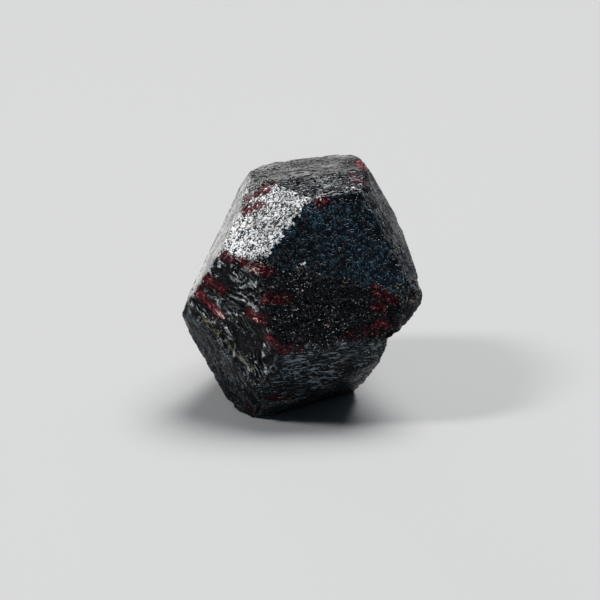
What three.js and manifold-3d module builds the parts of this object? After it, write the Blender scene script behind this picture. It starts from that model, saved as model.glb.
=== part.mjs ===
// A garnet crystal: one loose, dark crystal grown as two blocks that share most of their faces.
// Millimetres, +Z up, standing on its flat seat with the origin under the middle of its box.
//
// A crystal is given the way a mineralogist gives it: every flat face by the direction it looks
// in and by its distance from the middle of the crystal. Directions are a compass angle, counted
// from +X towards +Y, and a tilt above the horizontal, in degrees.

import * as THREE from "three";
import { mergeVertices } from "three/addons/utils/BufferGeometryUtils.js";
import Module from "manifold-3d";

const wasm = await Module();
wasm.setup();

// ---- driving dimensions ----

// The block that is cut down to the crystal; anything larger than the crystal does.
const BLANK_SIZE = 60;

// Thickness of the slab taken off in front of each face.
const SLAB_SIZE = 120;

// Height of the middle of the crystal above its seat.
const SEAT_DISTANCE = 15.5;

const GARNET_COLOUR = 0x2a2226;
const GARNET_ROUGHNESS = 0.34;
const GARNET_METALNESS = 0.0;

// Faces that run across both blocks: [compass, tilt, distance].
const SHARED_FACES = {
  // the large front pair, split by a low ridge
  front_upper: [-84, 22.5, 14.4],
  front_lower: [-86.5, 14, 14.1],
  // the shoulder and the nearly level top
  shoulder: [-97, 70, 17.5],
  top: [132, 81, 16.2],
  // the left side of the front, from the frosted face down to the foot
  frosted: [-117, 40, 15.9],
  frosted_bevel: [-158.5, 50, 16.7],
  left_upper: [-177, 29.5, 14.2],
  left_middle: [-120, 9, 15.3],
  left_band: [-124, -7, 15.1],
  left_lower: [-136.5, -19.5, 15.9],
  // the striated underside of the front
  under_front: [-82, -27, 15.3],
  under_edge: [-76, -43, 16.0],
  // the narrow faces on the right
  right_bevel: [-24, 33.5, 17.4],
  right_upper: [-4.5, 30.5, 16.0],
  // the back, parallel to the faces opposite
  back: [96, -22.5, 14.6],
  back_upper: [98, 27, 15.4],
  back_top: [100.5, 45.5, 16.3],
  back_left: [156, -33.5, 15.9],
  left_back: [153.5, 12.5, 10.9],
  left_foot: [171, -28.5, 14.9],
  // the seat the crystal stands on
  seat: [180, -90, SEAT_DISTANCE],
};

// Faces of the upper block only: its right-hand corner overhangs the lower block.
const UPPER_FACES = {
  corner: [-50, 0, 18.7],
  corner_side: [20.5, -5, 10.6],
  corner_under: [9, -50.5, 7.8],
  right_back: [19, 26, 14.6],
  back_right: [60, -9, 15.1],
};

// Faces of the lower block only: it is narrower on the right and reaches down to the seat.
const LOWER_FACES = {
  right_lower: [2, -15, 11.1],
  right_foot: [23, 1.5, 6.2],
  under_right: [-51, -52, 14.8],
};

// ---- from a face list to a solid ----

function directionOf([compass, tilt]) {
  const turn = THREE.MathUtils.degToRad(compass);
  const lift = THREE.MathUtils.degToRad(tilt);
  return new THREE.Vector3(
    Math.cos(lift) * Math.cos(turn),
    Math.cos(lift) * Math.sin(turn),
    Math.sin(lift),
  );
}

function toManifold(geometry) {
  const bare = geometry.clone();
  bare.deleteAttribute("normal");
  bare.deleteAttribute("uv");
  const merged = mergeVertices(bare, 1e-5);
  return new wasm.Manifold(
    new wasm.Mesh({
      numProp: 3,
      vertProperties: new Float32Array(merged.attributes.position.array),
      triVerts: new Uint32Array(merged.index.array),
    }),
  );
}

// A slab of waste whose near side lies on the face and whose body is outside the crystal.
function slabInFrontOf(face) {
  const direction = directionOf(face);
  const slab = new THREE.BoxGeometry(SLAB_SIZE, SLAB_SIZE, SLAB_SIZE);
  slab.translate(0, 0, face[2] + SLAB_SIZE / 2);
  const turn = new THREE.Quaternion().setFromUnitVectors(new THREE.Vector3(0, 0, 1), direction);
  slab.applyQuaternion(turn);
  return toManifold(slab);
}

// One block: a cube with a slab cut away in front of every face.
function growBlock(faces) {
  let block = toManifold(new THREE.BoxGeometry(BLANK_SIZE, BLANK_SIZE, BLANK_SIZE));
  for (const face of Object.values(faces)) {
    block = block.subtract(slabInFrontOf(face));
  }
  return block;
}

function toGeometry(solid) {
  const mesh = solid.getMesh();
  const positions = new Float32Array(mesh.numVert * 3);
  for (let i = 0; i < mesh.numVert; i += 1) {
    for (let axis = 0; axis < 3; axis += 1) {
      positions[3 * i + axis] = mesh.vertProperties[mesh.numProp * i + axis];
    }
  }
  const geometry = new THREE.BufferGeometry();
  geometry.setAttribute("position", new THREE.BufferAttribute(positions, 3));
  geometry.setIndex(new THREE.BufferAttribute(new Uint32Array(mesh.triVerts), 1));
  return geometry;
}

// ---- the crystal ----

const upperBlock = growBlock({ ...SHARED_FACES, ...UPPER_FACES });
const lowerBlock = growBlock({ ...SHARED_FACES, ...LOWER_FACES });
const crystalGeometry = toGeometry(upperBlock.add(lowerBlock));

// Stand the seat on Z = 0 with the box centred over the origin.
crystalGeometry.computeBoundingBox();
const box = crystalGeometry.boundingBox;
crystalGeometry.translate(
  -(box.min.x + box.max.x) / 2,
  -(box.min.y + box.max.y) / 2,
  -box.min.z,
);
crystalGeometry.computeVertexNormals();

const garnet = new THREE.MeshStandardMaterial({
  color: GARNET_COLOUR,
  roughness: GARNET_ROUGHNESS,
  metalness: GARNET_METALNESS,
  flatShading: true,
});

const crystal = new THREE.Mesh(crystalGeometry, garnet);
crystal.name = "garnet_crystal";

const model = new THREE.Group();
model.add(crystal);

export default model;
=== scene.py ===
# %% [markdown]
# # A garnet crystal
# A garnet grows as one solid piece of stone with flat faces. The frame holds that solid. This
# lesson keeps its faces where they are and gives them the fine surface a real crystal has: worn
# edges, growth lines, etch pits, a frosted face and the deep red that shows through the black.
# Some light is painted into the colour as well: part of the white of the frosted face is a
# painted highlight, the blue of the front is a painted reflection, a few pale grains are painted
# glints, crests get a painted highlight and hollows painted shade.

# %% Open the frame
import math

import bpy
import numpy as np
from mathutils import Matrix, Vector, noise
from mathutils.bvhtree import BVHTree
from mathutils.kdtree import KDTree


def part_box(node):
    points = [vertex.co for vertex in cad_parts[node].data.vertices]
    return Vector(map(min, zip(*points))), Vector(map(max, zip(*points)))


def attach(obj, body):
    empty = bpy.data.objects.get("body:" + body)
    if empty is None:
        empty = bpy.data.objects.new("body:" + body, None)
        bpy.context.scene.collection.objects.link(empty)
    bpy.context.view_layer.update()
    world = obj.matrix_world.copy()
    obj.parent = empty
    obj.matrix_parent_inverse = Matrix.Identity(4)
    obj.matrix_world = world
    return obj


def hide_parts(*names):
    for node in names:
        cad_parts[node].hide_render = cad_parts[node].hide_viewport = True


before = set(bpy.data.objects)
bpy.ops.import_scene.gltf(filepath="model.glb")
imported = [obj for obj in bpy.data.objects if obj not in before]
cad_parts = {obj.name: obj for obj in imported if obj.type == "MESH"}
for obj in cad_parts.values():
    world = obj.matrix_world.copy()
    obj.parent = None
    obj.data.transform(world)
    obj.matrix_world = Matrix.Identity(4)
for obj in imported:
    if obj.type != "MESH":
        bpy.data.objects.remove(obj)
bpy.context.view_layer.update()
low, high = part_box("garnet_crystal")
middle = (low + high) / 2
size = high - low
print("crystal", [round(1000 * side, 1) for side in size], "mm")

MM = 0.001
noise.seed_set(5)  # without a seed, the noise that shifts the borders differs from run to run


def direction(compass, tilt):
    """A unit vector from a compass angle (from +X towards +Y) and a tilt above the level."""
    turn, lift = math.radians(compass), math.radians(tilt)
    return Vector((math.cos(lift) * math.cos(turn), math.cos(lift) * math.sin(turn), math.sin(lift)))


# %% [markdown]
# ## The camera
# The crystal is seen from the front and a little above. A small thing is best shown with a long
# lens from well away, because that keeps parallel edges parallel.

# %% Camera
VIEW_TILT = 20
VIEW_DISTANCE = 0.675
AIM_LEFT = 0.35 * MM
AIM_FORWARD = 1.25 * MM
AIM_HEIGHT = 0.41  # as a share of the crystal's height
aim = Vector((middle.x - AIM_LEFT, middle.y - AIM_FORWARD, low.z + AIM_HEIGHT * size.z))
camera_data = bpy.data.cameras.new("camera")
camera_data.lens = 300
camera_data.clip_start = 0.01
camera_data.clip_end = 10
camera = bpy.data.objects.new("camera", camera_data)
bpy.context.scene.collection.objects.link(camera)
toward_camera = direction(-90, VIEW_TILT)
camera.location = aim + toward_camera * VIEW_DISTANCE
camera.rotation_euler = (-toward_camera).to_track_quat("-Z", "Y").to_euler()
bpy.context.scene.camera = camera
print("camera at", [round(v, 3) for v in camera.location])

# %% [markdown]
# ## The floor and the light
# A glossy black stone shows the room more than itself, so the light is most of the picture. The
# floor is plain grey paper. Far from the crystal it fades into the colour of the backdrop, so
# that no horizon cuts through the low views. The room is dim in front and paler behind. A wide
# lamp overhead lights the paper and the top, and a small one high on the left lights the frosted
# face. Three weak lamps give the dark faces something to show: a blue one in front, one low behind
# and one low on the left. The film curve deepens the darkest tones, so that black stays black.

# %% Floor
BACKDROP = (0.69, 0.69, 0.69, 1)
PAPER_GREY = (0.48, 0.48, 0.48, 1)
FADE_START = 0.25
FADE_END = 0.70
bpy.ops.object.select_all(action="DESELECT")
bpy.ops.mesh.primitive_plane_add(size=8, location=(0, 0, low.z))
floor = bpy.context.object
floor.name = "floor"
paper = bpy.data.materials.new("floor_paper")
paper.use_nodes = True
paper_shader = paper.node_tree.nodes["Principled BSDF"]
paper_shader.inputs["Base Color"].default_value = PAPER_GREY
paper_shader.inputs["Roughness"].default_value = 0.9
paper_shader.inputs["Specular IOR Level"].default_value = 0.0
paper_nodes = paper.node_tree.nodes
paper_links = paper.node_tree.links
floor_place = paper_nodes.new("ShaderNodeTexCoord")
floor_gap = paper_nodes.new("ShaderNodeVectorMath")
floor_gap.operation = "LENGTH"
paper_links.new(floor_place.outputs["Object"], floor_gap.inputs[0])
fade = paper_nodes.new("ShaderNodeMapRange")
fade.interpolation_type = "SMOOTHSTEP"
fade.inputs["From Min"].default_value = FADE_START
fade.inputs["From Max"].default_value = FADE_END
paper_links.new(floor_gap.outputs["Value"], fade.inputs["Value"])
glow = paper_nodes.new("ShaderNodeEmission")
glow.inputs["Color"].default_value = BACKDROP
fade_out = paper_nodes.new("ShaderNodeMixShader")
paper_links.new(fade.outputs[0], fade_out.inputs[0])
paper_links.new(paper_shader.outputs[0], fade_out.inputs[1])
paper_links.new(glow.outputs[0], fade_out.inputs[2])
paper_links.new(fade_out.outputs[0], paper_nodes["Material Output"].inputs["Surface"])
paper.cycles.emission_sampling = "NONE"
floor.data.materials.append(paper)
print("the floor fades between", FADE_START, "and", FADE_END, "m from the crystal")

# %% Film
# each point of the curve: the light that comes in, the light that is shown
FILM_CURVE = ((0.03, 0.010), (0.08, 0.052), (0.20, 0.185), (0.45, 0.45))
scene = bpy.context.scene
scene.view_settings.view_transform = "Standard"
scene.view_settings.use_curve_mapping = True
film_curve = scene.view_settings.curve_mapping
for light_in, light_out in FILM_CURVE:
    film_curve.curves[3].points.new(light_in, light_out)
film_curve.update()
print("film curve with", len(film_curve.curves[3].points), "points")

# %% Room
DIM_FRONT = 0.02
PALE_BACK = 0.24
TURN_FROM_DIM_TO_PALE = 0.6
room = bpy.data.worlds.new("room")
scene.world = room
room.use_nodes = True
nodes = room.node_tree.nodes
links = room.node_tree.links
nodes.clear()
place = nodes.new("ShaderNodeTexCoord")
split = nodes.new("ShaderNodeSeparateXYZ")
links.new(place.outputs["Generated"], split.inputs[0])
depth = nodes.new("ShaderNodeMapRange")
depth.inputs["From Min"].default_value = -TURN_FROM_DIM_TO_PALE
depth.inputs["From Max"].default_value = TURN_FROM_DIM_TO_PALE
depth.inputs["To Min"].default_value = DIM_FRONT
depth.inputs["To Max"].default_value = PALE_BACK
depth.interpolation_type = "SMOOTHSTEP"
links.new(split.outputs["Y"], depth.inputs["Value"])
seen = nodes.new("ShaderNodeLightPath")
pick = nodes.new("ShaderNodeMix")
pick.data_type = "RGBA"
links.new(seen.outputs["Is Camera Ray"], pick.inputs[0])
links.new(depth.outputs[0], pick.inputs[6])
pick.inputs[7].default_value = BACKDROP
back_light = nodes.new("ShaderNodeBackground")
links.new(pick.outputs[2], back_light.inputs["Color"])
world_output = nodes.new("ShaderNodeOutputWorld")
links.new(back_light.outputs[0], world_output.inputs["Surface"])
print("room light from", DIM_FRONT, "in front to", PALE_BACK, "behind")


# %% Lamps
def add_lamp(name, compass, tilt, distance, width, power, colour=(1, 1, 1)):
    """A round soft lamp at that direction from the crystal, facing it."""
    lamp_data = bpy.data.lights.new(name, "AREA")
    lamp_data.shape = "DISK"
    lamp_data.size = width
    lamp_data.energy = power
    lamp_data.color = colour
    lamp = bpy.data.objects.new(name, lamp_data)
    bpy.context.scene.collection.objects.link(lamp)
    toward = direction(compass, tilt)
    lamp.location = middle + toward * distance
    lamp.rotation_euler = toward.to_track_quat("Z", "Y").to_euler()
    print(name, power, "W at", distance, "m")


add_lamp("key_lamp", -159, 50, 1.0, 0.22, 4.2)
add_lamp("overhead_lamp", 40, 73, 1.6, 1.1, 29.2)
add_lamp("front_blue_lamp", -80, 27, 1.2, 0.6, 0.7, (0.28, 0.66, 1.0))
add_lamp("back_left_lamp", 112, 12, 1.2, 0.5, 1.2)
add_lamp("low_left_lamp", -125, 7, 1.2, 0.25, 0.9)

# %% [markdown]
# ## The body of the crystal
# The flat faces are already right in the frame's solid, so the crystal starts as a copy of it.
# Its loose triangles are merged, and the small triangles of each flat face are dissolved into
# one polygon, so that a face of the mesh is a face of the crystal.

# %% Copy and merge
SAME_POINT = 0.002 * MM
SAME_FACE = math.radians(0.4)
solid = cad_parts["garnet_crystal"]
blank = bpy.data.objects.new("crystal_blank", solid.data.copy())
scene.collection.objects.link(blank)
bpy.ops.object.select_all(action="DESELECT")
blank.select_set(True)
bpy.context.view_layer.objects.active = blank
bpy.ops.object.mode_set(mode="EDIT")
bpy.ops.mesh.select_all(action="SELECT")
bpy.ops.mesh.remove_doubles(threshold=SAME_POINT)
bpy.ops.mesh.dissolve_limited(angle_limit=SAME_FACE)
bpy.ops.object.mode_set(mode="OBJECT")
print("crystal faces", len(blank.data.polygons), "edges", len(blank.data.edges))

# %% [markdown]
# ## Names for the faces
# Every flat face is known by the way it faces. The list gives each one a name, so that the cells
# below can say "the shoulder" instead of a number.

# %% Name the faces
# face: (the compass angle, the tilt above the level) of the way it faces, in degrees
FACE_LOOKS = {
    "front_upper": (-84, 22.5), "front_lower": (-86.5, 14), "shoulder": (-97, 70), "top": (132, 81),
    "frosted": (-117, 40), "frosted_bevel": (-158.5, 50), "left_upper": (-177, 29.5),
    "left_middle": (-120, 9), "left_band": (-124, -7), "left_lower": (-136.5, -19.5),
    "under_front": (-82, -27), "under_edge": (-76, -43), "under_right": (-51, -52),
    "right_bevel": (-24, 33.5), "right_upper": (-4.5, 30.5), "corner": (-50, 0),
    "corner_side": (20.5, -5), "corner_under": (9, -50.5), "right_back": (19, 26),
    "back_right": (60, -9), "right_lower": (2, -15), "right_foot": (23, 1.5),
    "back": (96, -22.5), "back_upper": (98, 27), "back_top": (100.5, 45.5), "back_left": (156, -33.5),
    "left_back": (153.5, 12.5), "left_foot": (171, -28.5), "seat": (180, -90),
}
FACE_NAMES = list(FACE_LOOKS)
face_normals = np.array([direction(*FACE_LOOKS[name]) for name in FACE_NAMES])
blank_normals = np.array([p.normal for p in blank.data.polygons])
face_of_polygon = (blank_normals @ face_normals.T).argmax(axis=1)
print("named", len(set(face_of_polygon)), "of", len(FACE_NAMES), "faces")

# %% [markdown]
# ## Worn edges
# The edges of a loose crystal are never knife sharp. They are rounded here by a narrow bevel, on
# a second copy, because the first one is still needed to measure how far a point is from an edge.

# %% Round the edges
EDGE_WEAR = 0.28 * MM
SHARP_ENOUGH = math.radians(4)
rounded = bpy.data.objects.new("crystal_rounded", blank.data.copy())
scene.collection.objects.link(rounded)


def use_modifier(piece, kind, **settings):
    """Adds a modifier with those settings and applies it."""
    bpy.ops.object.select_all(action="DESELECT")
    piece.select_set(True)
    bpy.context.view_layer.objects.active = piece
    bpy.ops.object.modifier_add(type=kind)
    modifier = piece.modifiers[-1]
    for name, value in settings.items():
        setattr(modifier, name, value)
    bpy.ops.object.modifier_apply(modifier=modifier.name)


use_modifier(rounded, "BEVEL", width=EDGE_WEAR, segments=3, limit_method="ANGLE",
             angle_limit=SHARP_ENOUGH, use_clamp_overlap=True)
print("rounded body has", len(rounded.data.polygons), "faces")

# %% [markdown]
# ## A skin fine enough to carve
# Growth lines and pits are a few tenths of a millimetre wide, so the skin needs points that
# close together all over. A voxel remesh gives an even net, and a shrinkwrap lays it back on the
# rounded body, which makes the flat faces flat again.

# %% Fine skin
SKIN_STEP = 0.16 * MM
crystal = bpy.data.objects.new("garnet_crystal_body", rounded.data.copy())
scene.collection.objects.link(crystal)
use_modifier(crystal, "REMESH", mode="VOXEL", voxel_size=SKIN_STEP)
use_modifier(crystal, "SHRINKWRAP", target=rounded, wrap_method="NEAREST_SURFACEPOINT")
print("skin has", len(crystal.data.vertices), "points")

# %% [markdown]
# ## Where each point is
# The carving differs from face to face and fades towards the edges. So every point of the skin
# learns two things: which face it lies on, and how far it is from the nearest edge.

# %% Measure the skin
EDGE_STEP = 0.15 * MM
nearest = BVHTree.FromObject(blank, bpy.context.evaluated_depsgraph_get())
edge_points = []
for edge in blank.data.edges:
    start, end = (blank.data.vertices[i].co for i in edge.vertices)
    steps = max(2, int((end - start).length / EDGE_STEP))
    edge_points += [start.lerp(end, i / steps) for i in range(steps + 1)]
edge_tree = KDTree(len(edge_points))
for i, p in enumerate(edge_points):
    edge_tree.insert(p, i)
edge_tree.balance()


def measure(piece):
    """The points of a piece, the face each one is on and how far it is from an edge, in mm."""
    places = np.zeros(len(piece.data.vertices) * 3)
    piece.data.vertices.foreach_get("co", places)
    places = places.reshape(-1, 3)
    face = np.array([face_of_polygon[nearest.find_nearest(Vector(p))[2]] for p in places])
    gap = np.array([edge_tree.find(p)[2] for p in places]) / MM
    return places, face, gap


points, face_of_point, from_edge = measure(crystal)
count = len(points)
print("points on the frosted face:", int((face_of_point == FACE_NAMES.index("frosted")).sum()))

# %% [markdown]
# ## Growth lines
# Garnet faces are combed with fine parallel lines, left as one kind of face grew against
# another. On each face they run along a direction it shares with a neighbour. Stretched noise
# makes them: quick change across the lines, slow change along them. Where growth was broken the
# lines stand up as ledges, and a warped sawtooth makes those: a slow rise and a sudden drop.

# %% Sizes of the lines
# face: (neighbour that sets the direction, spacing in mm, line depth in mm, ledge depth in mm)
GROWTH_LINES = {
    "shoulder": ("front_upper", 0.70, 0.09, 0.09), "top": ("shoulder", 0.8, 0.035, 0.04),
    "front_upper": ("right_bevel", 0.9, 0.018, 0.0), "front_lower": ("left_band", 0.9, 0.025, 0.03),
    "frosted": ("front_upper", 0.7, 0.02, 0.0), "frosted_bevel": ("left_upper", 0.7, 0.02, 0.0),
    "under_front": ("front_lower", 0.65, 0.07, 0.09), "under_edge": ("under_front", 0.6, 0.06, 0.05),
    "under_right": ("under_front", 0.6, 0.06, 0.05), "left_lower": ("left_foot", 0.60, 0.05, 0.04),
    "left_band": ("left_foot", 1.1, 0.06, 0.18), "left_middle": ("left_lower", 1.4, 0.06, 0.24),
    "left_upper": ("left_back", 0.8, 0.025, 0.0), "right_bevel": ("front_upper", 0.6, 0.03, 0.0),
    "right_upper": ("right_bevel", 0.6, 0.04, 0.04), "right_back": ("right_upper", 1.0, 0.05, 0.12),
    "back": ("back_upper", 1.5, 0.06, 0.22), "back_upper": ("back", 0.9, 0.05, 0.10),
    "back_top": ("back_upper", 0.7, 0.05, 0.07), "left_back": ("left_upper", 1.2, 0.05, 0.16),
    "left_foot": ("left_lower", 0.8, 0.06, 0.10), "back_left": ("back", 1.1, 0.06, 0.18),
    "back_right": ("back", 1.0, 0.05, 0.14), "corner_side": ("right_back", 0.9, 0.05, 0.12),
    "corner": ("right_upper", 0.9, 0.04, 0.10), "right_lower": ("right_foot", 0.7, 0.05, 0.08),
    "right_foot": ("right_lower", 0.7, 0.05, 0.08), "corner_under": ("corner_side", 0.7, 0.05, 0.08),
}
print("lines are set for", len(GROWTH_LINES), "faces")

# %% Shapes of the lines
CLIMB = 0.75  # the share of each ledge that climbs; the rest drops


def share_of(value):
    """The value, held between 0 and 1."""
    return min(1.0, max(0.0, value))


def stretched_noise(across, along, seed):
    """Noise from -1 to 1 that is long along the lines; both places are in line spacings."""
    wide = noise.noise(Vector((across, along / 9, seed)))
    fine = noise.noise(Vector((across * 2.1, along / 5, seed + 40)))
    return wide + 0.6 * fine


def ledge(across, along, seed):
    """A broken sawtooth from -1 to 1: it climbs slowly, drops suddenly and dies out in places."""
    warp = 2.6 * noise.noise(Vector((across / 3.0, along / 3.6, seed + 11)))
    phase = (across + warp) % 1.0
    rise = phase / CLIMB if phase < CLIMB else (1 - phase) / (1 - CLIMB)
    strength = noise.noise(Vector((across / 1.5, along / 2.4, seed + 23))) + 0.30
    return share_of(strength * 2.2) * (2 * rise - 1)


def fade_in(value, start, end):
    """0 below start, 1 above end, smooth between."""
    t = np.clip((value - start) / (end - start), 0, 1)
    return t * t * (3 - 2 * t)


def line_axes(face, neighbour):
    """The directions across and along the lines, which run as the edge with that neighbour does."""
    own = direction(*FACE_LOOKS[face])
    along = own.cross(direction(*FACE_LOOKS[neighbour])).normalized()
    return own.cross(along), along


print("the shoulder's lines run along", [round(v, 2) for v in line_axes("shoulder", "front_upper")[1]])

# %% Draw the lines
SEED_STEP = 3.7  # gives every face a noise of its own
relief = np.zeros(count)
for face, (neighbour, spacing, line_depth, ledge_depth) in GROWTH_LINES.items():
    across, along = line_axes(face, neighbour)
    seed = SEED_STEP * FACE_NAMES.index(face)
    for i in np.nonzero(face_of_point == FACE_NAMES.index(face))[0]:
        p = Vector(points[i]) / MM
        u = p.dot(across) / spacing
        v = p.dot(along) / spacing
        relief[i] += line_depth * stretched_noise(u, v, seed) + ledge_depth * ledge(u, v, seed)
print("growth lines up to", round(float(abs(relief).max()), 3), "mm deep")

# %% [markdown]
# ## Hillocks, steps and pits
# Between the lines the faces are not quite flat. Low hillocks bend the reflections everywhere.
# The rough faces, most of all those low on the left, break into small steps, and etching has left
# pits. Close to an edge all of the relief grows weaker, because edges wear smooth.

# %% Hillocks, steps and pits
ROUGH_FACES = {
    "left_middle": 1.0, "left_band": 0.8, "front_lower": 0.45, "corner": 0.6,
    "under_edge": 0.5, "under_right": 0.5, "back_left": 0.7, "right_foot": 0.4,
    "back": 0.7, "left_back": 0.5, "right_back": 0.4, "back_upper": 0.35, "back_right": 0.5,
    "left_lower": 0.2, "frosted": 0.2, "corner_side": 0.5, "corner_under": 0.5,
}
ROUGH_ELSEWHERE = 0.1
HILLOCK_HEIGHT = 0.035
RIPPLE_HEIGHT = 0.02
STEP_HEIGHT = 0.13
STEPS_IN_ONE = 4
PIT_START = 0.34
roughness_of_face = np.array([ROUGH_FACES.get(name, ROUGH_ELSEWHERE) for name in FACE_NAMES])
rough = roughness_of_face[face_of_point]
# a pattern is read from a shifted place, so that it doesn't line up with the one below it
for i, raw in enumerate(points):
    p = Vector(raw) / MM
    ripple = noise.noise(p / 0.8 + Vector((9, 2, 5)))
    relief[i] += HILLOCK_HEIGHT * noise.noise(p / 3.1) + RIPPLE_HEIGHT * ripple
    lump = noise.noise(p / 1.3 + Vector((4, 7, 1))) + 0.45 * noise.noise(p / 0.5)
    step = round(lump * STEPS_IN_ONE) / STEPS_IN_ONE
    relief[i] += rough[i] * STEP_HEIGHT * (0.7 * step + 0.3 * lump)
    pit = noise.noise(p / 0.55 + Vector((2, 8, 3)))
    if pit > PIT_START:
        relief[i] -= (0.25 + rough[i]) * 0.5 * (pit - PIT_START)
inland = fade_in(from_edge, 0.1, 0.7)
relief *= 0.3 + 0.7 * inland
print("relief between", round(float(relief.min()), 3), "and", round(float(relief.max()), 3), "mm")

# %% [markdown]
# ## Chipped edges and blunted corners
# Knocks take small bites out of the sharpest places, so the edges wander in and out a little.
# The corners, where three or more edges meet, are blunted most. A few of them kept more of their
# stone than that or lost more, so the skin there is moved once more, by an amount of their own.

# %% Chipped edges
BITE_DEPTH = 0.20
near_edge = 1 - fade_in(from_edge, 0.15, 0.9)
for i in np.nonzero(near_edge > 0)[0]:
    p = Vector(points[i]) / MM
    bite = noise.noise(p / 1.5 + Vector((5, 1, 6))) + 0.6 * noise.noise(p / 0.5)
    relief[i] -= near_edge[i] * BITE_DEPTH * max(0.0, bite)
print("points close enough to an edge to be chipped:", int((near_edge > 0).sum()))

# %% Blunted corners
BLUNT_DEPTH = 0.25
BLUNT_REACH = 1.6
# each one, in mm: its middle, how far it reaches, how far the skin moves out (a minus moves it in)
CORNER_MOVES = [
    ((-16.0, -7.0, 13.5), 3.2, 0.20),
    ((15.9, -11.6, 17.8), 2.5, 0.20),
    ((7.6, 3.5, 32.5), 4.0, 0.20),
    ((-9.5, -6.9, 0.2), 1.6, -0.35),
    ((-6.6, -9.9, 0.2), 1.5, 0.25),
]
for corner in blank.data.vertices:
    gap = np.linalg.norm(points - np.array(corner.co), axis=1) / MM
    relief -= BLUNT_DEPTH * (1 - fade_in(gap, 0.0, BLUNT_REACH))
corner_move = np.zeros(count)
for spot, reach, move in CORNER_MOVES:
    gap = np.linalg.norm(points / MM - np.array(spot), axis=1)
    corner_move += move * (1 - fade_in(gap, 0.0, reach))
print("blunted", len(blank.data.vertices), "corners")

# %% [markdown]
# ## Lay the carving on the skin
# Each point moves along the skin's own direction there, by the relief that was worked out for it.
# One flat chip takes the sharp right edge off the foot: what lies past its plane is pressed back
# onto it. The seat stays flat, because the crystal stands on it.

# %% Carve
CHIP_FACING = np.array(direction(-8, -56))
CHIP_REACH = 3.75 * MM
outward = np.zeros(count * 3)
crystal.data.vertex_normals.foreach_get("vector", outward)
outward = outward.reshape(-1, 3)
on_seat = 1 - fade_in(points[:, 2] / MM, 0.03, 0.4)
carved = points + outward * ((relief * (1 - on_seat) + corner_move) * MM)[:, None]
past_chip = np.maximum(carved @ CHIP_FACING - CHIP_REACH, 0)
carved -= past_chip[:, None] * CHIP_FACING
carved[:, 2] = np.maximum(carved[:, 2], low.z)
crystal.data.vertices.foreach_set("co", carved.ravel())
crystal.data.update()
bpy.ops.object.select_all(action="DESELECT")
crystal.select_set(True)
bpy.context.view_layer.objects.active = crystal
bpy.ops.object.shade_smooth()
print("chip at the foot up to", round(float(past_chip.max()) / MM, 2), "mm deep")

# %% [markdown]
# ## Fewer triangles
# The net is now denser than it has to be on the calm faces. Collapsing the least needed edges
# thins it there and keeps the ledges and chips.

# %% Thin the net
MOST_TRIANGLES = 192000


def triangle_count(piece):
    return sum(len(p.vertices) - 2 for p in piece.data.polygons)


triangles = triangle_count(crystal)
use_modifier(crystal, "DECIMATE", ratio=MOST_TRIANGLES / triangles)
points, face_of_point, from_edge = measure(crystal)
count = len(points)
print("from", triangles, "triangles to", triangle_count(crystal))

# %% [markdown]
# ## What the finish needs to know
# The material is painted by rules, and some rules depend on the place: how dusty a face is, where
# the red windows and the mica are, and which way the growth lines run. Each is stored on the
# points of the skin as an attribute with a plain name.

# %% Growth directions on the thinned skin
across_lines = np.zeros(count)
along_lines = np.zeros(count)
for face, (neighbour, *_) in GROWTH_LINES.items():
    across, along = line_axes(face, neighbour)
    on_face = face_of_point == FACE_NAMES.index(face)
    across_lines[on_face] = (points[on_face] / MM) @ np.array(across)
    along_lines[on_face] = (points[on_face] / MM) @ np.array(along)


def store(name, values, kind="FLOAT"):
    """Keeps one value, or one vector, for every point of the skin."""
    attribute = crystal.data.attributes.new(name, kind, "POINT")
    field = "value" if kind == "FLOAT" else "vector"
    attribute.data.foreach_set(field, np.asarray(values, dtype=np.float32).ravel())
    print("stored", name)


FACE_SHIFT = 10.0  # in mm, so that no pattern runs on from one face into the next
growth_place = np.stack([across_lines, along_lines, face_of_point * FACE_SHIFT], axis=1)
store("growth_place", growth_place, "FLOAT_VECTOR")
store("edge_wear", 1 - fade_in(from_edge, 0.05, 0.6))

# %% [markdown]
# ## Dust, frosting and painted light
# Weathering has etched some faces to a pale frost and left others black and glassy. Part of that
# pale is painted light: the white of the frosted face is partly a painted highlight of the small
# lamp high on the left, the pale grey of the upper left face partly a painted reflection of the
# pale room, and the pale strip of the right bevel partly a painted highlight along the ridge. The
# border between two faces is crumbly, so each point looks up its face from a place a little off
# its own. On the back, noise changes the cover from place to place. Hollows are darkened as
# painted shade and crests lightened as a painted highlight.

# %% How dusty each point is, and how much painted light it gets
# face: (how much is covered, how pale the cover is, how far it follows the lines, how strong the
# painted blue sheen is)
DUST_AND_SHEEN_OF_FACE = {
    # the frosted face's white is partly frost and partly a painted highlight; left_upper's pale grey is
    # partly frost and partly a painted reflection; right_bevel's pale strip is partly a painted
    # highlight along the ridge
    "frosted": (0.85, 1.0, 0.35, 0.05), "frosted_bevel": (0.70, 0.24, 0.4, 0),
    "left_upper": (1.00, 0.62, 0.5, 0), "top": (0.76, 0.18, 0.85, 0),
    "shoulder": (0.52, 0.04, 0.85, 0.3),
    "left_middle": (0.03, 0.95, 0.8, 0.15), "left_band": (0.03, 0.75, 0.9, 0.15),
    "left_lower": (0.58, 0.11, 0.85, 0.35), "under_front": (0.56, 0.17, 0.9, 0.45),
    "front_upper": (0.62, 0.055, 0.45, 1), "front_lower": (0.0, 0.16, 0.4, 0.1),
    "right_bevel": (0.75, 0.12, 0.7, 0.3), "right_upper": (0.46, 0.03, 0.7, 0.4),
    "right_lower": (0.6, 0.03, 0.7, 0.3), "right_foot": (0.6, 0.03, 0.7, 0.3),
    "corner": (0.12, 0.18, 0.5, 0.1), "under_edge": (0.5, 0.34, 0.8, 0.2),
}
LOOK_ELSEWHERE = (0.45, 0.10, 0.7, 0.2)
BORDER_BEND = 1.1
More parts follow.
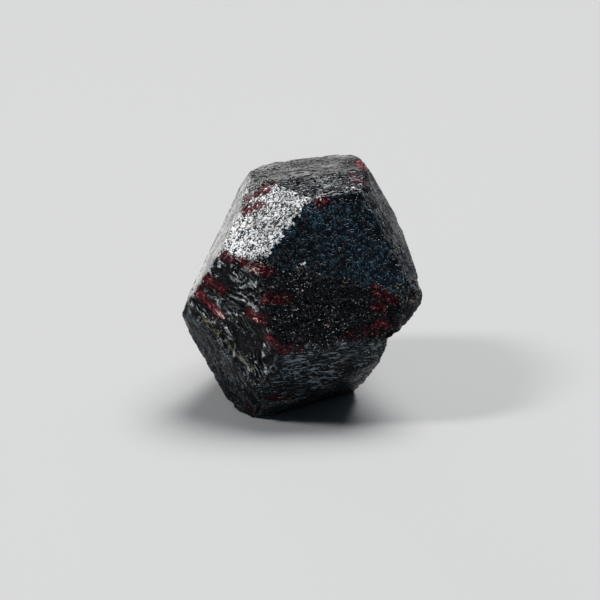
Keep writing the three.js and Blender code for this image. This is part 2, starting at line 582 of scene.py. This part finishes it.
BORDER_CRUMBLE = 0.7
dust_and_sheen_of_face = np.array([DUST_AND_SHEEN_OF_FACE.get(name, LOOK_ELSEWHERE) for name in FACE_NAMES])
dust = np.zeros((count, 4))
height_mm = np.zeros(count)
behind = fade_in(points[:, 1] / MM, -6, -1)
for i, raw in enumerate(points):
    spot, facing = nearest.find_nearest(Vector(raw))[:2]
    height_mm[i] = (Vector(raw) - spot).dot(facing) / MM
    p = Vector(raw) / MM
    shift = BORDER_BEND * noise.noise_vector(p / 1.3)
    shift += BORDER_CRUMBLE * noise.noise_vector(p / 0.45)
    dust[i] = dust_and_sheen_of_face[face_of_polygon[nearest.find_nearest((p + shift) * MM)[2]]]
    dust[i, 0] += 0.30 * behind[i] * noise.noise(p / 4 + Vector((6, 6, 2)))
    dust[i, 1] *= 1 + 1.2 * behind[i] * noise.noise(p / 6 + Vector((3, 8, 5)))
for column, name in enumerate(("dust_cover", "pale_dust_and_highlight", "combed", "painted_blue_sheen")):
    store(name, dust[:, column])
away = fade_in(from_edge, 0.3, 0.8)
# painted shade and highlight: these two masks darken the colour in hollows and lighten it on crests
store("hollow", away * fade_in(-height_mm, 0.03, 0.20))
store("crest", away * fade_in(height_mm, 0.02, 0.14))
for helper in (blank, rounded):
    bpy.data.objects.remove(helper)

# %% [markdown]
# ## Red windows and specks of mica
# Almandine is black only because it is thick. Where the skin is thin or cracked the red comes
# through in short streaks. Flakes of mica and pale grains from the rock it grew in still stick
# to it. Some of the pale grains are painted highlights: a white glint on the front and pink
# highlights by the red streaks. On the back, noise places the red and the mica.

# %% Where they are
# each one: its two ends and its half width in mm, and how strong it is
RED_STREAKS = [
    ((-7.6, -7.6, 28.5), (-5.5, -7.8, 29.5), 0.54, 0.8),
    ((-7.5, -6.1, 29.6), (-4.7, -6.6, 31.1), 0.41, 0.8),
    ((-5.5, -5.4, 31.3), (-4.1, -5.9, 32.0), 0.41, 0.6),
    ((-10.6, -10.7, 23.4), (-7.4, -12.7, 22.9), 0.47, 0.8),
    ((-6.4, -13.3, 22.6), (-4.4, -13.8, 21.9), 0.54, 0.8),
    ((-13.0, -9.9, 19.9), (-10.6, -11.5, 18.8), 0.60, 0.85),
    ((-14.0, -9.7, 17.8), (-11.1, -11.2, 15.2), 0.68, 1.0),
    ((-7.1, -14.0, 16.4), (-5.5, -15.1, 15.8), 0.68, 1.0),
    ((-5.2, -14.7, 18.6), (-2.1, -14.5, 18.6), 0.68, 0.75),
    ((-4.7, -15.3, 13.5), (-2.5, -16.3, 11.6), 0.60, 0.85),
    ((-1.7, -16.1, 12.4), (-0.1, -16.0, 11.8), 0.54, 0.5),
    ((5.7, -15.3, 13.5), (10.9, -14.7, 14.6), 0.95, 0.45),
    ((9.6, -14.7, 14.9), (10.9, -14.6, 15.1), 0.50, 0.8),
    ((9.5, -13.5, 19.5), (11.8, -13.7, 18.1), 0.85, 0.72),
    ((9.6, -14.1, 17.3), (10.5, -14.1, 17.0), 0.54, 0.7),
    ((2.1, -9.8, 30.3), (3.2, -9.5, 30.6), 0.40, 0.9),
    ((7.5, 1.5, 32.4), (8.0, -3.4, 33.0), 0.54, 0.8),
    ((6.8, -5.8, 32.5), (7.9, -6.6, 32.2), 0.54, 0.6),
    ((-7.6, -9.8, 1.8), (-5.5, -11.0, 1.5), 0.68, 0.5),
    ((-4.4, -12.5, 3.8), (-1.7, -12.1, 3.6), 0.54, 0.7),
    ((-0.3, 0.2, 31.7), (3.7, 4.3, 31.7), 0.54, 0.3),
]
MICA_SPECKS = [
    ((-13.2, -9.6, 13.8), (-11.4, -10.6, 12.3), 0.54, 1.0),
    ((-10.1, -11.3, 11.2), (-9.4, -11.6, 10.3), 0.41, 1.0),
    ((-8.4, -12.1, 9.5), (-6.8, -13.0, 8.3), 0.54, 1.0),
    ((12.6, -13.1, 19.8), (14.5, -13.0, 17.9), 0.68, 0.8),
    ((-9.0, -8.5, 26.9), (-8.4, -8.8, 26.8), 0.27, 0.7),
    ((0.1, -15.8, 13.1), (0.9, -15.6, 13.4), 0.41, 0.5),
]
# pale grains and painted highlights: the first is a painted white glint, and several pink ones next to
# red streaks are painted highlights at their ends
GRAINS_AND_GLINTS = [
    ((0.0, -13.0, 23.2), (0.1, -13.1, 22.9), 0.22, 1.0),
    ((-0.3, -14.1, 19.7), (0.2, -14.1, 19.4), 0.34, 0.4),
    ((-7.1, -12.9, 22.3), (-6.0, -13.6, 22.1), 0.41, 0.7),
    ((-11.3, -11.1, 15.5), (-10.6, -11.5, 14.9), 0.34, 0.9),
    ((-8.0, -8.7, 27.1), (-7.1, -9.4, 26.9), 0.41, 0.6),
    ((-6.3, -14.5, 15.8), (-5.7, -14.8, 15.4), 0.27, 0.7),
    ((0.7, -13.9, 20.2), (1.0, -13.8, 20.3), 0.18, 0.5),
    ((6.8, -14.0, 18.2), (7.1, -14.1, 18.0), 0.20, 0.45),
    ((3.0, -15.0, 15.2), (3.4, -15.1, 14.8), 0.27, 0.35),
    ((5.2, -14.9, 15.4), (5.6, -15.0, 14.7), 0.24, 0.3),
    ((-2.4, -15.0, 16.9), (-2.0, -15.1, 16.3), 0.34, 0.4),
    ((1.9, -9.1, 31.1), (2.2, -9.5, 30.8), 0.20, 0.6),
    ((5.7, -7.7, 31.7), (6.7, -7.8, 31.8), 0.24, 0.6),
]
print(len(RED_STREAKS), "red streaks,", len(MICA_SPECKS), "specks of mica,", len(GRAINS_AND_GLINTS), "grains")


# %% Place the streaks and specks
def streak_field(streaks, softness):
    """For every point, how deep it lies in the nearest streak: 1 in its middle, 0 outside."""
    field = np.zeros(count)
    places = points / MM
    for start, end, half_width, strength in streaks:
        start = np.array(start)
        run = np.array(end) - start
        share = np.clip(((places - start) @ run) / (run @ run), 0, 1)
        gap = np.linalg.norm(places - start - share[:, None] * run, axis=1)
        inside = 1 - fade_in(gap, half_width * 0.4, half_width + softness)
        field = np.maximum(field, strength * inside)
    return field


red = streak_field(RED_STREAKS, softness=0.8)
mica = streak_field(MICA_SPECKS, softness=0.5)
for i in np.nonzero(behind > 0)[0]:
    p = Vector(points[i]) / MM
    zone = share_of(3 * noise.noise(p / 7 + Vector((1, 6, 4))) + 0.35)
    wild = noise.noise(Vector((p.x / 2.6, p.y / 2.6, p.z / 1.2)) + Vector((3, 3, 9)))
    red[i] = max(red[i], behind[i] * zone * share_of((wild - 0.26) * 3))
    wild = noise.noise(p / 1.5 + Vector((13, 4, 2)))
    mica[i] = max(mica[i], behind[i] * zone * share_of((wild - 0.50) * 5))
store("red_window", red)
store("grain_and_glint", streak_field(GRAINS_AND_GLINTS, softness=0.25))
store("mica", mica)

# %% [markdown]
# ## The stone itself
# A cut garnet bends light strongly (its index is about 1.8). This skin is etched and dry, which
# dulls it, so it gets a lower index. What breaks up its reflection of the room is its fine grain.
# Three kinds of relief feed one bump: short strokes that follow the growth lines, a wandering
# etch, and pits. The dust uses the same lines, so that colour and relief belong together.

# %% Helpers for the material
garnet = bpy.data.materials.new("garnet")
garnet.use_nodes = True
tree = garnet.node_tree
tree.nodes.clear()


def node(kind, settings=None, **sockets):
    """Adds a node; each socket is given a value or is wired to the output handed in."""
    made = tree.nodes.new(kind)
    for name, value in (settings or {}).items():
        setattr(made, name, value)
    for name, value in sockets.items():
        key = int(name[1:]) if name[1:].isdigit() and name[0] == "i" else name.replace("_", " ")
        if isinstance(value, bpy.types.NodeSocket):
            tree.links.new(value, made.inputs[key])
        else:
            made.inputs[key].default_value = value
    return made


def scaled(vector, x, y, z):
    """The same place, stretched along its axes."""
    return node("ShaderNodeMapping", Vector=vector, Scale=(x, y, z)).outputs[0]


def grain(vector, size_mm, detail=3.0, rough=0.55, bend=0.0):
    """Noise from 0 to 1 with features of that size."""
    return node("ShaderNodeTexNoise", Vector=vector, Scale=1 / size_mm, Detail=detail,
                Roughness=rough, Distortion=bend).outputs[0]


def ramp(value, start, end, low_value=0.0, high_value=1.0):
    """Goes smoothly from the low value at the start to the high value at the end."""
    return node("ShaderNodeMapRange", {"interpolation_type": "SMOOTHSTEP"}, Value=value, From_Min=start,
                From_Max=end, To_Min=low_value, To_Max=high_value).outputs[0]


def calculate(how, a, b=0.0):
    return node("ShaderNodeMath", {"operation": how}, i0=a, i1=b).outputs[0]


def plus(a, b):
    return calculate("ADD", a, b)


def minus(a, b):
    return calculate("SUBTRACT", a, b)


def times(a, b):
    return calculate("MULTIPLY", a, b)


def mixed(share, first, second):
    """Goes from the first value to the second as the share goes from 0 to 1."""
    return node("ShaderNodeMix", i0=share, i2=first, i3=second).outputs[0]


def blend(share, first, second):
    """Goes from the first colour to the second as the share goes from 0 to 1."""
    return node("ShaderNodeMix", {"data_type": "RGBA"}, i0=share, i6=first, i7=second).outputs[2]


def stored(name, output="Fac"):
    """What the points of the skin keep under that name."""
    return node("ShaderNodeAttribute", {"attribute_name": name}).outputs[output]


# %% Places to read the patterns from
object_place = node("ShaderNodeTexCoord").outputs["Object"]
place_mm = scaled(object_place, 1 / MM, 1 / MM, 1 / MM)
lines_mm = stored("growth_place", "Vector")
print("patterns are read in millimetres")

# %% Fine relief
ETCH_SIZE = 0.66
PATCH_SIZE = 1.9
PITS_PER_MM = 1.5
RELIEF_DEPTH = 0.08 * MM
# the strokes are about 0.5 mm wide and 2 mm long
strokes = grain(scaled(lines_mm, 2.0, 0.5, 1), 1.0, detail=1.5, rough=0.5, bend=0.8)
etch = grain(place_mm, ETCH_SIZE, detail=1.5, rough=0.5, bend=1.2)
patchy = grain(place_mm, PATCH_SIZE, detail=2)
pit_place = node("ShaderNodeTexVoronoi", Vector=place_mm, Scale=PITS_PER_MM, Randomness=1.0)
pit_depth = ramp(pit_place.outputs["Distance"], 0.0, 0.28, 1.0, 0.0)
# a line is where the noise crosses its middle value: off_line is 0 there and 1 away from it
swirl = plus(mixed(stored("combed"), etch, strokes), -0.5)
off_line = ramp(calculate("ABSOLUTE", swirl), 0.0, 0.14)
# on black faces the lines are ridges, on pale faces they are grooves
dust_cover = stored("dust_cover")
mostly_pale = ramp(dust_cover, 0.49, 0.51)
height = mixed(mostly_pale, times(off_line, -1.0), off_line)
height = minus(height, times(pit_depth, 0.5))
bump = node("ShaderNodeBump", Height=height, Strength=1.0, Distance=RELIEF_DEPTH)
print("relief made with", len(tree.nodes), "nodes")

# %% [markdown]
# ## Black stone under dust
# The bare stone is near black. The dust lies over it in fine lines: the lines are pale on the black
# faces, and they are dark gaps in the cover of the pale ones. Worn edges catch more dust. Crests
# get more cover, a painted highlight, and hollows less, painted shade. The blue is a painted sheen,
# and a thin haze of it lies between the lines too.

# %% Bare stone and the lines of dust
BLACK_STONE = (0.002, 0.002, 0.003, 1)
BLUE_STONE = (0.003, 0.005, 0.008, 1)
CLUSTER_SIZE = 1.3
CRUMB_SIZE = 0.38
stone = blend(ramp(patchy, 0.4, 0.6), BLACK_STONE, BLUE_STONE)
dark_lines = ramp(plus(off_line, times(dust_cover, 1.2)), 1.1, 1.4)
pale_lines = ramp(minus(times(dust_cover, 0.8), off_line), -0.32, -0.12)
clusters = ramp(plus(grain(place_mm, CLUSTER_SIZE, detail=2), dust_cover), 0.56, 0.70)
pale_lines = times(pale_lines, clusters)
crumbs = grain(place_mm, CRUMB_SIZE, detail=1, rough=0.5)
pale_lines = times(pale_lines, ramp(crumbs, 0.42, 0.56, 0.2, 1.0))
cover = mixed(mostly_pale, pale_lines, dark_lines)
print("dust lines made,", len(tree.nodes), "nodes so far")

# %% Painted highlight on crests, worn edges, and painted shade in hollows
# painted highlight: crests near the lines get more pale cover
painted_crest_highlight = times(stored("crest"), ramp(off_line, 0.2, 0.7, 0.4, 0.0))
cover = plus(cover, painted_crest_highlight)
worn_edge = times(stored("edge_wear"), ramp(etch, 0.50, 0.62))
cover = plus(cover, times(worn_edge, 0.5))
# painted shade: the cover is darkened in the hollows
cover = times(cover, ramp(stored("hollow"), 0.0, 1.0, 1.0, 0.15))
print("cover made,", len(tree.nodes), "nodes so far")

# %% Lay the dust and the painted blue sheen on the stone
BLUE_SHEEN_PAINT = (0.42, 0.78, 1.0, 1)
WHITE_DUST_AND_HIGHLIGHT = (1.0, 0.99, 0.98, 1)
WEATHER_SIZE = 4.5
weather = grain(place_mm, WEATHER_SIZE, detail=3, rough=0.6)
pale = times(stored("pale_dust_and_highlight"), ramp(weather, 0.35, 0.65, 0.55, 1.3))
# painted reflection: the blue is a sheen of the sky, painted on the front faces in the colour of the
# dust and as a thin haze between its lines
dust_and_sheen_colour = blend(stored("painted_blue_sheen"), WHITE_DUST_AND_HIGHLIGHT, BLUE_SHEEN_PAINT)
painted_sheen_haze = times(stored("painted_blue_sheen"), ramp(weather, 0.35, 0.65, 0.003, 0.016))
dust_and_sheen_here = plus(times(cover, pale), painted_sheen_haze)
stone = blend(dust_and_sheen_here, stone, dust_and_sheen_colour)
print("dust laid,", len(tree.nodes), "nodes so far")

# %% Crumbs of earth and grey specks
EARTH = (0.22, 0.18, 0.13, 1)
SPECK_GREY = (0.36, 0.37, 0.36, 1)
CRUMB_ZONE_SIZE = 2.6
SPECK_SIZE = 0.27
crumb_zone = ramp(grain(place_mm, CRUMB_ZONE_SIZE, detail=2), 0.45, 0.7)
crumbs_here = times(ramp(crumbs, 0.60, 0.70), crumb_zone)
crumbs_here = times(crumbs_here, ramp(stored("painted_blue_sheen"), 0.0, 0.6, 0.5, 0.1))
stone = blend(crumbs_here, stone, EARTH)
specks = ramp(grain(place_mm, SPECK_SIZE, detail=0), 0.71, 0.77)
speck_zone = ramp(weather, 0.35, 0.6, 0.2, 1.0)
speck_zone = times(speck_zone, ramp(stored("painted_blue_sheen"), 0.1, 1.0, 1.0, 0.1))
specks = times(specks, speck_zone)
stone = blend(specks, stone, SPECK_GREY)
print("crumbs and specks laid,", len(tree.nodes), "nodes so far")

# %% [markdown]
# ## Red, mica and grains in the colour
# Each shows where its attribute says. A noise is added to the attribute first, so that no outline
# is smooth. The red is deep at the rim of a window and paler where the window is strongest. The
# lines of the skin run through all three and break them up.

# %% Red windows
DEEP_RED = (0.055, 0.003, 0.008, 1)
PALE_RED = (0.40, 0.11, 0.125, 1)
# the streaks are about 0.3 mm wide and 0.8 mm long
streaky = grain(scaled(lines_mm, 3.0, 1.2, 1), 1.0, detail=2, rough=0.6)
red_noise = times(plus(streaky, -0.5), 3.0)
red_here = ramp(plus(stored("red_window"), red_noise), 0.35, 0.75)
red_depth = ramp(plus(times(stored("red_window"), 0.5), etch), 0.82, 1.16)
red_depth = times(red_depth, ramp(off_line, 0.1, 0.6))
stone = blend(red_here, stone, blend(red_depth, DEEP_RED, PALE_RED))
print("red windows laid,", len(tree.nodes), "nodes so far")

# %% Mica, pale grains and painted glints
MICA_GOLD = (0.22, 0.20, 0.13, 1)
PINK_GRAIN_AND_HIGHLIGHT = (0.72, 0.50, 0.44, 1)
WHITE_GLINT_PAINT = (0.75, 0.92, 1.0, 1)
mica_noise = times(plus(etch, -0.5), 3.0)
mica_here = ramp(plus(stored("mica"), mica_noise), 0.8, 1.15)
mica_here = times(mica_here, ramp(off_line, 0.1, 0.5, 0.25, 1.0))
stone = blend(mica_here, stone, MICA_GOLD)
grain_noise = times(plus(crumbs, -0.5), 4.0)
speck_and_glint_here = ramp(plus(stored("grain_and_glint"), grain_noise), 0.5, 0.9)
speck_and_glint_here = times(speck_and_glint_here, ramp(stored("grain_and_glint"), 0.05, 0.4))
speck_and_glint_here = times(speck_and_glint_here, ramp(off_line, 0.05, 0.4, 0.15, 1.0))
# painted glint: grains on the blue front faces are white glints; the others are pink grains and painted
# pink highlights
stone = blend(speck_and_glint_here, stone, blend(stored("painted_blue_sheen"), PINK_GRAIN_AND_HIGHLIGHT, WHITE_GLINT_PAINT))
print("mica and grains laid,", len(tree.nodes), "nodes so far")

# %% [markdown]
# ## Shine
# Bare stone is the glossiest. Dust, frost, the places with the painted blue sheen and the pits each
# make it rougher.

# %% Roughness and the shader
SKIN_INDEX = 1.48
roughness = ramp(patchy, 0.3, 0.7, 0.12, 0.22)
roughness = plus(roughness, times(dust_and_sheen_here, 0.15))
roughness = plus(roughness, ramp(stored("pale_dust_and_highlight"), 0.4, 1.0, 0.0, 0.30))
roughness = plus(roughness, times(stored("painted_blue_sheen"), 0.12))
roughness = plus(roughness, times(pit_depth, 0.25))
shader = node("ShaderNodeBsdfPrincipled", Base_Color=stone, Roughness=roughness,
              IOR=SKIN_INDEX, Normal=bump.outputs[0])
node("ShaderNodeOutputMaterial", Surface=shader.outputs[0])
print("garnet has", len(tree.nodes), "nodes")

# %% [markdown]
# ## The finished crystal
# It wears the one material, rides on the frame's one body and takes the place of the plain solid.

# %% Dress the crystal
crystal.data.materials.clear()
crystal.data.materials.append(garnet)
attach(crystal, "root")
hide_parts("garnet_crystal")
print("triangles", triangle_count(crystal))
